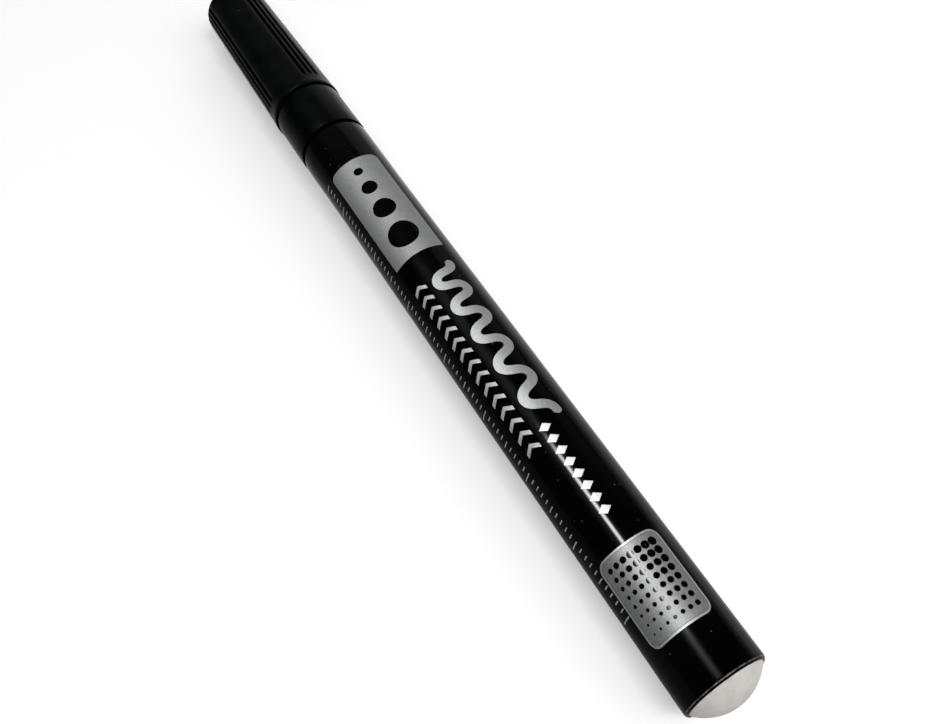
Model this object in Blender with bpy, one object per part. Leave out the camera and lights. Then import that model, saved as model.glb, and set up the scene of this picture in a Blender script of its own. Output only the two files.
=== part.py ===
"""Capped permanent marker lying on its side.

Metres, +Z up. X runs along the pen towards the cap, and the origin is under its middle, on the surface
that it lies on. Every round piece is turned about the pen's axis.
"""

import math

import bmesh
import bpy

# Round pieces: number of flats, one of them at the bottom. A radius is measured to the flats.
SIDES = 24
DOME_STEPS = 8
EDGE_STEPS = 3
SMOOTH_ANGLE = math.radians(28)
WELD_DISTANCE = 1e-7

# Clearances
PRESS_GAP = 0.0001
FILM_GAP = 0.00005
SEAT_GAP = 0.0003
SEAM_GAP = 0.0003
SLIDE_GAP = 0.00025
TIP_CLEARANCE = 0.0019

# Barrel: drawn metal tube, a little wider at its mouth
BARREL_DIAMETER = 0.0105
BARREL_LENGTH = 0.0940
BARREL_WALL = 0.00035
BARREL_TAIL_EDGE = 0.00028
MOUTH_FLARE = 0.00012
MOUTH_FLARE_LENGTH = 0.012

# Spigots of the tail plug and the front section, and their seal ribs
SPIGOT_WALL = 0.00075
SEAL_RIB_HEIGHT = 0.00015
SEAL_RIB_WIDTH = 0.0008

# Tail plug
DOME_HEIGHT = 0.0021
PLUG_DEPTH = 0.0075
PLUG_FLOOR = 0.0014
PLUG_RIBS = 2

# Front section: spigot, collar, neck and nose
FRONT_SPIGOT_LENGTH = 0.0140
FRONT_RIBS = 3
FRONT_WALL = 0.0012
COLLAR_STEP = 0.00015
COLLAR_LENGTH = 0.0100
COLLAR_EDGE = 0.0002
NECK_LENGTH = 0.0105
SNAP_BEAD_HEIGHT = 0.00015
SNAP_BEAD_WIDTH = 0.0012
SNAP_BEAD_PLACE = 0.0045
NOSE_LENGTH = 0.0118
NOSE_STRAIGHT = 0.0030
NOSE_TIP_WALL = 0.0007

# Nib and ink
NIB_DIAMETER = 0.0030
NIB_EXPOSED = 0.0052
NIB_POINT_LENGTH = 0.0034
NIB_POINT_RADIUS = 0.00055
NIB_POINT_ARC = 70
NIB_IN_RESERVOIR = 0.0100
FILM_WALL = 0.00015

# Cap and its inner cup
CAP_WALL = 0.0009
CAP_END_WALL = 0.0012
CAP_END_EDGE = 0.0005
CAP_STEP = 0.0001
CAP_DRAFT = math.radians(0.8)
CAP_LIP_HEIGHT = 0.00006
CAP_LIP_LENGTH = 0.0007
CAP_LIP_SLOPE = 0.0005
CAP_LIP_EDGE = 0.0002
INNER_CAP_WALL = 0.0007

# Cap grooves: angles go round from +Z towards +Y
PANEL_CENTRE = math.radians(28.3)
GROUP_ANGLE = math.radians(48.9)
GROOVES_IN_GROUP = 3
GROOVE_PITCH = 0.00106
GROOVE_WIDTH = 0.0005
GROOVE_DEPTH = 0.0003
GROOVE_START = 0.0023
CUTTER_MARGIN = 0.001

# Radii that follow from the sizes above
BARREL_RADIUS = BARREL_DIAMETER / 2
BORE_RADIUS = BARREL_RADIUS - BARREL_WALL
CUP_RADIUS = BORE_RADIUS - PRESS_GAP - SEAL_RIB_HEIGHT - SPIGOT_WALL
FILM_RADIUS = CUP_RADIUS - PRESS_GAP
RESERVOIR_RADIUS = FILM_RADIUS - FILM_WALL - FILM_GAP
COLLAR_RADIUS = BARREL_RADIUS + COLLAR_STEP
CAP_MOUTH_RADIUS = COLLAR_RADIUS + CAP_STEP
CAP_LIP_RADIUS = CAP_MOUTH_RADIUS + CAP_LIP_HEIGHT
NIB_RADIUS = NIB_DIAMETER / 2
NIB_BORE_RADIUS = NIB_RADIUS + PRESS_GAP
NOSE_TIP_RADIUS = NIB_BORE_RADIUS + NOSE_TIP_WALL
AXIS_HEIGHT = max(CAP_LIP_RADIUS, BARREL_RADIUS + MOUTH_FLARE)

# Places along the pen, from the barrel's tail rim
COLLAR_X = BARREL_LENGTH + SEAM_GAP
NECK_X = COLLAR_X + COLLAR_LENGTH
NOSE_X = NECK_X + NECK_LENGTH
NOSE_TIP_X = NOSE_X + NOSE_LENGTH
NIB_TIP_X = NOSE_TIP_X + NIB_EXPOSED
CUP_FLOOR_X = NECK_X - FRONT_WALL
RESERVOIR_X = PLUG_FLOOR + SEAT_GAP
RESERVOIR_END_X = CUP_FLOOR_X - SEAT_GAP
NIB_TAIL_X = RESERVOIR_END_X - NIB_IN_RESERVOIR
CAP_X = NECK_X + SEAM_GAP
INNER_CAP_X = NOSE_X + SEAT_GAP
CHAMBER_END_X = NIB_TIP_X + TIP_CLEARANCE
INNER_CAP_END_X = CHAMBER_END_X + INNER_CAP_WALL
CAP_FLOOR_X = INNER_CAP_END_X + SEAT_GAP
CAP_END_X = CAP_FLOOR_X + CAP_END_WALL
TAIL_RIM_X = (DOME_HEIGHT - CAP_END_X) / 2


def barrel_bore(x):
    """Inner radius of the barrel at a distance from its tail rim."""
    into_flare = max(0.0, x - (BARREL_LENGTH - MOUTH_FLARE_LENGTH))
    return BORE_RADIUS + MOUTH_FLARE * into_flare / MOUTH_FLARE_LENGTH


def cap_outside(x):
    """Outer radius of the cap's drafted side, at a distance from the tail rim."""
    return CAP_MOUTH_RADIUS - math.tan(CAP_DRAFT) * (x - CAP_X)


def cap_bore(x):
    return cap_outside(x) - CAP_WALL


# Straight land of the nose that the inner cap seals on
NOSE_BASE_RADIUS = cap_bore(NOSE_X) - PRESS_GAP - INNER_CAP_WALL - SLIDE_GAP


def rounded(centre_x, centre_r, radius, start, end, steps):
    """Points of an arc in the outline, with angles in degrees from +X towards a larger radius."""
    points = []
    for step in range(steps + 1):
        angle = math.radians(start + (end - start) * step / steps)
        points.append((centre_x + radius * math.cos(angle), centre_r + radius * math.sin(angle)))
    return points


def ribbed_spigot(start_x, end_x, ribs):
    """Outside of a spigot in the barrel's bore, with seal ribs spread evenly along it."""
    points = []

    def add(x, proud):
        points.append((x, barrel_bore(x) - PRESS_GAP - SEAL_RIB_HEIGHT + proud))

    add(start_x, 0)
    for rib in range(ribs):
        middle = start_x + (end_x - start_x) * (rib + 0.5) / ribs
        half = SEAL_RIB_WIDTH / 2
        add(middle - half, 0)
        add(middle - half / 2, SEAL_RIB_HEIGHT)
        add(middle + half / 2, SEAL_RIB_HEIGHT)
        add(middle + half, 0)
    add(end_x, 0)
    return points


def barrel_outline():
    mouth = BARREL_RADIUS + MOUTH_FLARE
    flare_x = BARREL_LENGTH - MOUTH_FLARE_LENGTH
    edge = min(BARREL_TAIL_EDGE, BARREL_WALL)
    return [
        (0, BORE_RADIUS),
        *rounded(edge, BARREL_RADIUS - edge, edge, 180, 90, EDGE_STEPS),
        (flare_x, BARREL_RADIUS),
        (BARREL_LENGTH, mouth),
        (BARREL_LENGTH, mouth - BARREL_WALL),
        (flare_x, BORE_RADIUS),
    ]


def tail_plug_outline():
    rim = BORE_RADIUS - PRESS_GAP
    ball = (rim**2 + DOME_HEIGHT**2) / (2 * DOME_HEIGHT)
    reach = math.degrees(math.asin(rim / ball))
    return [
        *rounded(ball - DOME_HEIGHT, 0, ball, 180, 180 - reach, DOME_STEPS),
        *ribbed_spigot(BARREL_TAIL_EDGE, PLUG_DEPTH, PLUG_RIBS),
        (PLUG_DEPTH, CUP_RADIUS),
        (PLUG_FLOOR, CUP_RADIUS),
        (PLUG_FLOOR, 0),
    ]


def front_section_outline():
    neck_end = cap_bore(NOSE_X) - SLIDE_GAP
    chamber = neck_end - FRONT_WALL
    bead_x = NECK_X + SNAP_BEAD_PLACE
    bead_half = SNAP_BEAD_WIDTH / 2
    return [
        (COLLAR_X - FRONT_SPIGOT_LENGTH, CUP_RADIUS),
        *ribbed_spigot(COLLAR_X - FRONT_SPIGOT_LENGTH, COLLAR_X, FRONT_RIBS),
        (COLLAR_X, COLLAR_RADIUS - COLLAR_EDGE),
        (COLLAR_X + COLLAR_EDGE, COLLAR_RADIUS),
        (NECK_X - COLLAR_EDGE, COLLAR_RADIUS),
        (NECK_X, COLLAR_RADIUS - COLLAR_EDGE),
        (NECK_X, cap_bore(CAP_X) - SLIDE_GAP),
        (bead_x - bead_half, cap_bore(bead_x - bead_half) - SLIDE_GAP),
        (bead_x, cap_bore(bead_x) - SLIDE_GAP + SNAP_BEAD_HEIGHT),
        (bead_x + bead_half, cap_bore(bead_x + bead_half) - SLIDE_GAP),
        (NOSE_X, neck_end),
        (NOSE_X, NOSE_BASE_RADIUS),
        (NOSE_X + NOSE_STRAIGHT, NOSE_BASE_RADIUS),
        (NOSE_TIP_X, NOSE_TIP_RADIUS),
        (NOSE_TIP_X, NIB_BORE_RADIUS),
        (NOSE_X, NIB_BORE_RADIUS),
        (NOSE_X, chamber),
        (CUP_FLOOR_X, chamber),
        (CUP_FLOOR_X, CUP_RADIUS),
    ]


def nib_outline():
    point_x = NIB_TIP_X - NIB_POINT_RADIUS
    return [
        *rounded(point_x, 0, NIB_POINT_RADIUS, 0, NIB_POINT_ARC, EDGE_STEPS),
        (NIB_TIP_X - NIB_POINT_LENGTH, NIB_RADIUS),
        (NIB_TAIL_X, NIB_RADIUS),
        (NIB_TAIL_X, 0),
    ]


def ink_reservoir_outline():
    """A rod with the blind hole that the nib's tail makes in its front end."""
    hole_x = NIB_TAIL_X - SEAT_GAP
    return [
        (RESERVOIR_X, 0),
        (RESERVOIR_X, RESERVOIR_RADIUS),
        (RESERVOIR_END_X, RESERVOIR_RADIUS),
        (RESERVOIR_END_X, NIB_BORE_RADIUS),
        (hole_x, NIB_BORE_RADIUS),
        (hole_x, 0),
    ]


def reservoir_film_outline():
    inside = FILM_RADIUS - FILM_WALL
    return [
        (RESERVOIR_X, FILM_RADIUS),
        (RESERVOIR_END_X, FILM_RADIUS),
        (RESERVOIR_END_X, inside),
        (RESERVOIR_X, inside),
    ]


def cap_outline():
    slope_x = CAP_X + CAP_LIP_LENGTH
    end_edge_x = CAP_END_X - CAP_END_EDGE
    end_radius = cap_outside(end_edge_x)
    return [
        (CAP_FLOOR_X, 0),
        (CAP_FLOOR_X, cap_bore(CAP_FLOOR_X)),
        (CAP_X, cap_bore(CAP_X)),
        (CAP_X, CAP_LIP_RADIUS - CAP_LIP_EDGE),
        (CAP_X + CAP_LIP_EDGE, CAP_LIP_RADIUS),
        (slope_x, CAP_LIP_RADIUS),
        (slope_x + CAP_LIP_SLOPE, cap_outside(slope_x + CAP_LIP_SLOPE)),
        *rounded(end_edge_x, end_radius - CAP_END_EDGE, CAP_END_EDGE, 90, 0, EDGE_STEPS),
        (CAP_END_X, 0),
    ]


def inner_cap_outline():
    """A mouth pressed into the cap's bore, then a thin cup that follows the nose and the nib."""
    cone_x = NOSE_X + NOSE_STRAIGHT
    mouth = NOSE_BASE_RADIUS + SLIDE_GAP
    chamber = NOSE_TIP_RADIUS + SLIDE_GAP
    return [
        (INNER_CAP_END_X, 0),
        (INNER_CAP_END_X, chamber + INNER_CAP_WALL),
        (NOSE_TIP_X, chamber + INNER_CAP_WALL),
        (cone_x, cap_bore(cone_x) - PRESS_GAP),
        (INNER_CAP_X, cap_bore(INNER_CAP_X) - PRESS_GAP),
        (INNER_CAP_X, mouth),
        (cone_x, mouth),
        (NOSE_TIP_X, chamber),
        (CHAMBER_END_X, chamber),
        (CHAMBER_END_X, 0),
    ]


def finish(name, colour, roughness, metallic=0.0):
    material = bpy.data.materials.new(name)
    material.use_nodes = True
    shader = material.node_tree.nodes["Principled BSDF"]
    shader.inputs["Base Color"].default_value = (*colour, 1.0)
    shader.inputs["Roughness"].default_value = roughness
    shader.inputs["Metallic"].default_value = metallic
    return material


def new_object(name, shape, parent):
    mesh = bpy.data.meshes.new(name)
    bmesh.ops.recalc_face_normals(shape, faces=shape.faces)
    shape.to_mesh(mesh)
    shape.free()
    mesh.shade_smooth()
    mesh.set_sharp_from_angle(angle=SMOOTH_ANGLE)
    made = bpy.data.objects.new(name, mesh)
    bpy.context.scene.collection.objects.link(made)
    made.parent = parent
    return made


def turned(name, outline, start_x, parent, material):
    """A solid of revolution about X. The outline is (x, radius) from the tail rim: a ring closes on
    itself, and a solid piece starts and ends on the axis."""
    shape = bmesh.new()
    to_corner = 1 / math.cos(math.pi / SIDES)
    first = -math.pi / 2 + math.pi / SIDES
    points = []
    for x, radius in outline:
        corner = radius * to_corner
        place = (x - start_x, corner * math.cos(first), corner * math.sin(first))
        points.append(shape.verts.new(place))
    lines = [shape.edges.new(pair) for pair in zip(points, points[1:])]
    if outline[-1][1] > 0:
        lines.append(shape.edges.new((points[-1], points[0])))
    bmesh.ops.spin(
        shape,
        geom=points + lines,
        cent=(0, 0, 0),
        axis=(1, 0, 0),
        angle=2 * math.pi,
        steps=SIDES,
        use_merge=True,
    )
    bmesh.ops.remove_doubles(shape, verts=shape.verts, dist=WELD_DISTANCE)
    made = new_object(name, shape, parent)
    made.data.materials.append(material)
    return made


def groove_cutter(parent):
    """One wedge for each groove, with its floor parallel to the cap's drafted side."""
    shape = bmesh.new()
    start_x = CAP_X + GROOVE_START
    end_x = CAP_END_X + CUTTER_MARGIN
    pitch_angle = GROOVE_PITCH / CAP_MOUTH_RADIUS
    centres = [PANEL_CENTRE + half + side * GROUP_ANGLE for half in (0, math.pi) for side in (-1, 1)]
    for centre in centres:
        for groove in range(GROOVES_IN_GROUP):
            angle = centre + (groove - (GROOVES_IN_GROUP - 1) / 2) * pitch_angle
            out = (math.sin(angle), math.cos(angle))
            across = (math.cos(angle), -math.sin(angle))
            loops = []
            for x in (start_x, end_x):
                floor = cap_outside(x) - GROOVE_DEPTH
                top = cap_outside(x) + CUTTER_MARGIN
                corners = [(floor, -1), (floor, 1), (top, 1), (top, -1)]
                loop = []
                for height, side in corners:
                    offset = side * GROOVE_WIDTH / 2
                    y = out[0] * height + across[0] * offset
                    z = out[1] * height + across[1] * offset
                    loop.append(shape.verts.new((x - CAP_X, y, z)))
                loops.append(loop)
            shape.faces.new(loops[0])
            shape.faces.new(loops[1])
            for corner in range(4):
                after = (corner + 1) % 4
                shape.faces.new((loops[0][corner], loops[0][after], loops[1][after], loops[1][corner]))
    cutter = new_object("groove_cutter", shape, parent)
    cutter.hide_render = True
    cutter.display_type = "WIRE"
    return cutter


def axis_empty(name, x):
    empty = bpy.data.objects.new(name, None)
    empty.location = (TAIL_RIM_X + x, 0, AXIS_HEIGHT)
    bpy.context.scene.collection.objects.link(empty)
    return empty


def build():
    for old in list(bpy.data.objects):
        bpy.data.objects.remove(old)

    pen = axis_empty("pen_axis", 0)
    lacquer = finish("black lacquered aluminium", (0.006, 0.006, 0.007), 0.12)
    off_white = finish("off-white moulded plastic", (0.62, 0.60, 0.58), 0.45)
    black_moulding = finish("black moulded plastic", (0.008, 0.008, 0.009), 0.32)
    wadding = finish("ink-soaked fibre wadding", (0.012, 0.012, 0.016), 0.9)
    film = finish("clear wrapping film", (0.75, 0.78, 0.80), 0.2)
    fibre = finish("ink-soaked bonded fibre", (0.01, 0.01, 0.012), 0.7)
    turned("barrel", barrel_outline(), 0, pen, lacquer)
    turned("tail_plug", tail_plug_outline(), 0, pen, off_white)
    turned("ink_reservoir", ink_reservoir_outline(), 0, pen, wadding)
    turned("reservoir_film", reservoir_film_outline(), 0, pen, film)
    turned("front_section", front_section_outline(), 0, pen, black_moulding)
    turned("nib", nib_outline(), 0, pen, fibre)

    pull = axis_empty("cap_axis", CAP_X)
    satin_moulding = finish("satin black moulded plastic", (0.012, 0.012, 0.012), 0.42)
    natural = finish("natural soft plastic", (0.70, 0.70, 0.66), 0.4)
    cap = turned("cap", cap_outline(), CAP_X, pull, satin_moulding)
    grooves = cap.modifiers.new("grooves", "BOOLEAN")
    grooves.operation = "DIFFERENCE"
    grooves.solver = "EXACT"
    grooves.object = groove_cutter(pull)
    turned("inner_cap", inner_cap_outline(), CAP_X, pull, natural)


build()
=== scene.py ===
import math

import bmesh
import bpy
from mathutils import Matrix, Quaternion, Vector


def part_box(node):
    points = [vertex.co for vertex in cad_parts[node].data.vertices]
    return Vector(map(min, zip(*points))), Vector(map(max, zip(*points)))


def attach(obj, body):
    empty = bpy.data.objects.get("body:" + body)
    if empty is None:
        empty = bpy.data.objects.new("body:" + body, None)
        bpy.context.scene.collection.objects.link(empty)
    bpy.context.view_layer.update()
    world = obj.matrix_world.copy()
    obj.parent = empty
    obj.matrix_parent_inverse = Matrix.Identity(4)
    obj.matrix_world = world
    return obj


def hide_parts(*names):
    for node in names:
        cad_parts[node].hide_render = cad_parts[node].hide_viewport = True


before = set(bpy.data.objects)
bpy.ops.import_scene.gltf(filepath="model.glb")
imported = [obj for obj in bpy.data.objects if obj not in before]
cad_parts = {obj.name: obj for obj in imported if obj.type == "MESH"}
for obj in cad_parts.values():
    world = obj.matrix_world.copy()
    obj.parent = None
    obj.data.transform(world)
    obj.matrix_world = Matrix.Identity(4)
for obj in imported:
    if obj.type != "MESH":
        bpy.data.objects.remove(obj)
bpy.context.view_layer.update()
mm = 0.001


def nodeSpan(node):
    # first and last place along the pen and the widest radius of a node, in millimetres
    low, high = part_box(node)
    return low.x / mm, high.x / mm, (high.z - low.z) / 2 / mm


axisHeight = (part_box("barrel")[0].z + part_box("barrel")[1].z) / 2
barrelTail, barrelMouth, mouthRadius = nodeSpan("barrel")
domeTip = nodeSpan("tail_plug")[0]
frontStart, noseTip, collarRadius = nodeSpan("front_section")
nibTail, nibTip, nibRadius = nodeSpan("nib")
capMouth, capEnd, lipRadius = nodeSpan("cap")
cupMouth, cupEnd = nodeSpan("inner_cap")[:2]
print("frame: pen from", round(domeTip, 2), "to", round(capEnd, 2), "mm, axis",
      round(axisHeight / mm, 3), "mm up")


# Small tools for colours, nodes and meshes

def linear(hexColour):
    channels = [int(hexColour[start:start + 2], 16) / 255 for start in (1, 3, 5)]
    return (*[c / 12.92 if c <= 0.04045 else ((c + 0.055) / 1.055) ** 2.4 for c in channels], 1.0)


def addNode(tree, kind, settings=None, links=None):
    # settings go to a property or an input socket, links to an input from (node, output)
    node = tree.nodes.new(kind)
    for key, value in (settings or {}).items():
        if isinstance(key, str) and hasattr(node, key):
            setattr(node, key, value)
        else:
            node.inputs[key].default_value = value
    for key, (source, output) in (links or {}).items():
        tree.links.new(source.outputs[output], node.inputs[key])
    return node


def startMaterial(name, shaderSettings, stretch=(1, 1, 1)):
    # a Principled material with object coordinates in millimetres, its patterns stretched along each axis
    material = bpy.data.materials.new(name)
    material.use_nodes = True
    tree = material.node_tree
    shader = tree.nodes["Principled BSDF"]
    for socket, value in shaderSettings.items():
        shader.inputs[socket].default_value = value
    coords = addNode(tree, "ShaderNodeTexCoord")
    scale = tuple(1 / (mm * along) for along in stretch)
    place = addNode(tree, "ShaderNodeMapping", {"Scale": scale}, {"Vector": (coords, "Object")})
    return material, tree, shader, place


def toneAndGloss(tree, shader, pattern, hexPair, roughPair):
    # one pattern moves the colour between two tones and the roughness between two values;
    # sockets 6 and 7 of a Mix node are its two colours
    usual = {"From Min": 0.35, "From Max": 0.68}  # nearly all of a noise texture lies between these
    share = addNode(tree, "ShaderNodeMapRange", usual, {"Value": (pattern, "Fac")})
    tone = addNode(tree, "ShaderNodeMix", {"data_type": "RGBA", 6: linear(hexPair[0]), 7: linear(hexPair[1])},
                   {0: (share, "Result")})
    rough = addNode(tree, "ShaderNodeMapRange", {"To Min": roughPair[0], "To Max": roughPair[1]},
                    {"Value": (share, "Result")})
    tree.links.new(tone.outputs[2], shader.inputs["Base Color"])
    tree.links.new(rough.outputs["Result"], shader.inputs["Roughness"])
    return tone, rough


def addDust(tree, shader, place, tone, spacing, largest, share):
    # specks of dust: each cell holds one, of its own size, and only a share of them is large enough to show
    cells = addNode(tree, "ShaderNodeTexVoronoi", {"Scale": 1 / spacing}, {"Vector": (place, "Vector")})
    draw = addNode(tree, "ShaderNodeSeparateColor", links={"Color": (cells, "Color")})
    size = addNode(tree, "ShaderNodeMapRange", {"From Min": 1 - share, "To Max": largest / spacing},
                   {"Value": (draw, "Red")})
    speck = addNode(tree, "ShaderNodeMath", {"operation": "LESS_THAN"},
                    {0: (cells, "Distance"), 1: (size, "Result")})
    dusty = addNode(tree, "ShaderNodeMix", {"data_type": "RGBA", 7: linear("#4a4845")},
                    {0: (speck, "Value"), 6: (tone, 2)})
    tree.links.new(dusty.outputs[2], shader.inputs["Base Color"])


def finishObject(name, shape, material, sharpAngle):
    bmesh.ops.recalc_face_normals(shape, faces=shape.faces)
    mesh = bpy.data.meshes.new(name)
    shape.to_mesh(mesh)
    shape.free()
    mesh.shade_smooth()
    mesh.set_sharp_from_angle(angle=math.radians(sharpAngle))
    mesh.materials.append(material)
    made = bpy.data.objects.new(name, mesh)
    bpy.context.scene.collection.objects.link(made)
    return made


def filleted(corners, closed=False, arcSteps=6, longest=2.5):
    # corners are (x, radius, fillet) in millimetres: each fillet becomes an arc, long stretches are divided
    points = []
    for index, (x, radius, fillet) in enumerate(corners):
        here = Vector((x, radius))
        atEnd = not closed and index in (0, len(corners) - 1)
        if fillet == 0 or atEnd:
            points.append(here)
            continue
        back = (Vector(corners[index - 1][:2]) - here).normalized()
        onward = (Vector(corners[(index + 1) % len(corners)][:2]) - here).normalized()
        half = back.angle(onward) / 2
        centre = here + (back + onward).normalized() * fillet / math.sin(half)
        start = here + back * fillet / math.tan(half) - centre
        turn = start.angle_signed(here + onward * fillet / math.tan(half) - centre)
        for step in range(arcSteps + 1):
            angle = -turn * step / arcSteps
            points.append(centre + Vector((start.x * math.cos(angle) - start.y * math.sin(angle),
                                           start.x * math.sin(angle) + start.y * math.cos(angle))))
    outline = []
    ends = points[1:] + (points[:1] if closed else [])
    for here, after in zip(points, ends):
        parts = max(1, math.ceil((after - here).length / longest))
        outline += [tuple(here.lerp(after, part / parts)) for part in range(parts)]
    return outline if closed else outline + [tuple(points[-1])]


def evenAngles(count):
    return [2 * math.pi * side / count for side in range(count)]


def turnPiece(name, outline, angles, material, closed=False, sharpAngle=34):
    # outline rows are (x, radius) in millimetres; a radius may be a function of the angle from +Z towards +Y
    shape = bmesh.new()
    rows = []
    for x, radius in outline:
        if not callable(radius) and radius < 1e-4:
            rows.append([shape.verts.new((x * mm, 0, axisHeight))])  # on the axis a row is one point
            continue
        row = []
        for angle in angles:
            reach = (radius(angle) if callable(radius) else radius) * mm
            across, up = reach * math.sin(angle), reach * math.cos(angle)
            row.append(shape.verts.new((x * mm, across, axisHeight + up)))
        rows.append(row)
    pairs = list(zip(rows, rows[1:]))
    if closed:
        pairs.append((rows[-1], rows[0]))
    for row, after in pairs:
        for side in range(len(angles)):
            other = (side + 1) % len(angles)
            corners = [row[side % len(row)], row[other % len(row)],
                       after[other % len(after)], after[side % len(after)]]
            shape.faces.new(list(dict.fromkeys(corners)))
    return finishObject(name, shape, material, sharpAngle)


def addPiece(piece, body, node=None):
    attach(piece, body)
    if node:
        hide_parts(node)


# Stoved gloss lacquer on a drawn aluminium tube: deep black and mirror-like, with a trace of orange peel,
# hairline rubs from a pocket and a little dust. The specular level is far down because the blacks of the
# photograph swallow most of what they mirror.
def stovedBlackLacquer():
    lacquer, tree, shader, place = startMaterial(
        "stovedBlackLacquer", {"IOR": 1.5, "Metallic": 0.0, "Specular IOR Level": 0.035})
    peelSize = 1.4  # mm between the waves of orange peel
    smudgeSize = 7.0  # mm across a finger mark
    # real hairlines are nearer 0.02 mm wide, drawn coarser so that they show
    rubSpec = {"width": 0.12, "squeeze": 0.03, "faint": 0.64, "full": 0.74, "dulling": 0.10}
    smudge = addNode(tree, "ShaderNodeTexNoise", {"Scale": 1 / smudgeSize, "Detail": 4.0},
                     {"Vector": (place, "Vector")})
    tone, film = toneAndGloss(tree, shader, smudge, ("#020203", "#040405"), (0.06, 0.11))
    lengthwise = addNode(tree, "ShaderNodeMapping", {"Scale": (rubSpec["squeeze"], 1.0, 1.0)},
                         {"Vector": (place, "Vector")})
    rubs = addNode(tree, "ShaderNodeTexNoise", {"Scale": 1 / rubSpec["width"], "Detail": 2.0},
                   {"Vector": (lengthwise, "Vector")})
    rubMask = addNode(tree, "ShaderNodeMapRange", {"From Min": rubSpec["faint"], "From Max": rubSpec["full"],
                                                   "To Max": rubSpec["dulling"]}, {"Value": (rubs, "Fac")})
    rough = addNode(tree, "ShaderNodeMath", {"operation": "ADD"},
                    {0: (film, "Result"), 1: (rubMask, "Result")})
    tree.links.new(rough.outputs[0], shader.inputs["Roughness"])
    # painted highlight: a broken light line round the rolled tail edge, its tone mixed towards a bright grey
    rimHighlightPaint = {"place": 0.25, "half": 0.08, "core": 0.03, "most": 0.5, "grain": 0.5, "patch": (0.40, 0.66),
                "least": 0.10, "metal": "#9c9b98"}
    parts = addNode(tree, "ShaderNodeSeparateXYZ", links={"Vector": (place, "Vector")})
    offset = addNode(tree, "ShaderNodeMath", {"operation": "SUBTRACT", 1: barrelTail + rimHighlightPaint["place"]},
                     {0: (parts, "X")})
    away = addNode(tree, "ShaderNodeMath", {"operation": "ABSOLUTE"}, {0: (offset, "Value")})
    line = addNode(tree, "ShaderNodeMapRange", {"From Min": rimHighlightPaint["half"], "From Max": rimHighlightPaint["core"],
                                                "To Max": rimHighlightPaint["most"]}, {"Value": (away, "Value")})
    grain = addNode(tree, "ShaderNodeTexNoise", {"Scale": 1 / rimHighlightPaint["grain"], "Detail": 4.0},
                    {"Vector": (place, "Vector")})
    broken = addNode(tree, "ShaderNodeMapRange",
                     {"From Min": rimHighlightPaint["patch"][0], "From Max": rimHighlightPaint["patch"][1],
                      "To Min": rimHighlightPaint["least"]}, {"Value": (grain, "Fac")})
    paintedHighlight = addNode(tree, "ShaderNodeMath", {"operation": "MULTIPLY"},
                   {0: (line, "Result"), 1: (broken, "Result")})
    toneWithPaintedHighlight = addNode(tree, "ShaderNodeMix", {"data_type": "RGBA", 7: linear(rimHighlightPaint["metal"])},
                       {0: (paintedHighlight, "Value"), 6: (tone, 2)})
    # real specks are nearer 0.05 mm, drawn coarser so that they show
    addDust(tree, shader, place, toneWithPaintedHighlight, spacing=0.7, largest=0.09, share=0.42)
    peel = addNode(tree, "ShaderNodeTexNoise", {"Scale": 1 / peelSize, "Detail": 1.0},
                   {"Vector": (place, "Vector")})
    relief = addNode(tree, "ShaderNodeBump", {"Strength": 0.03, "Distance": 0.05 * mm},
                     {"Height": (peel, "Fac")})
    tree.links.new(relief.outputs["Normal"], shader.inputs["Normal"])
    return lacquer


# Screen-printed ink, aluminium flake in a clear binder: half metal to the eye, soft grey,
# with no clear mirror image
def silverInk(name, hexPair, roughPair):
    ink, tree, shader, place = startMaterial(name, {"Metallic": 0.5, "Specular IOR Level": 0.1})
    flakeSize = 0.16  # flakes are nearer 0.03 mm, drawn coarser so that the grain shows
    flakes = addNode(tree, "ShaderNodeTexNoise", {"Scale": 1 / flakeSize, "Detail": 3.0},
                     {"Vector": (place, "Vector")})
    toneAndGloss(tree, shader, flakes, hexPair, roughPair)
    relief = addNode(tree, "ShaderNodeBump", {"Strength": 0.12, "Distance": 0.02 * mm},
                     {"Height": (flakes, "Fac")})
    tree.links.new(relief.outputs["Normal"], shader.inputs["Normal"])
    return ink


# Moulded polypropylene, filled off-white: waxy and slightly mottled
def offWhitePolypropylene():
    plastic, tree, shader, place = startMaterial(
        "offWhitePolypropylene", {"IOR": 1.49, "Metallic": 0.0, "Subsurface Weight": 0.15,
                                  "Subsurface Radius": (1.0, 0.8, 0.7), "Subsurface Scale": 0.6 * mm})
    mottleSize = 1.8  # mm across a cloudy patch
    grainSize = 0.22  # mm between the pits of the moulding's skin
    mottle = addNode(tree, "ShaderNodeTexNoise", {"Scale": 1 / mottleSize, "Detail": 5.0},
                     {"Vector": (place, "Vector")})
    toneAndGloss(tree, shader, mottle, ("#aeaaa6", "#bdb9b5"), (0.36, 0.50))
    grain = addNode(tree, "ShaderNodeTexNoise", {"Scale": 1 / grainSize, "Detail": 2.0},
                    {"Vector": (place, "Vector")})
    relief = addNode(tree, "ShaderNodeBump", {"Strength": 0.15, "Distance": 0.02 * mm},
                     {"Height": (grain, "Fac")})
    tree.links.new(relief.outputs["Normal"], shader.inputs["Normal"])
    return plastic


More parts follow.
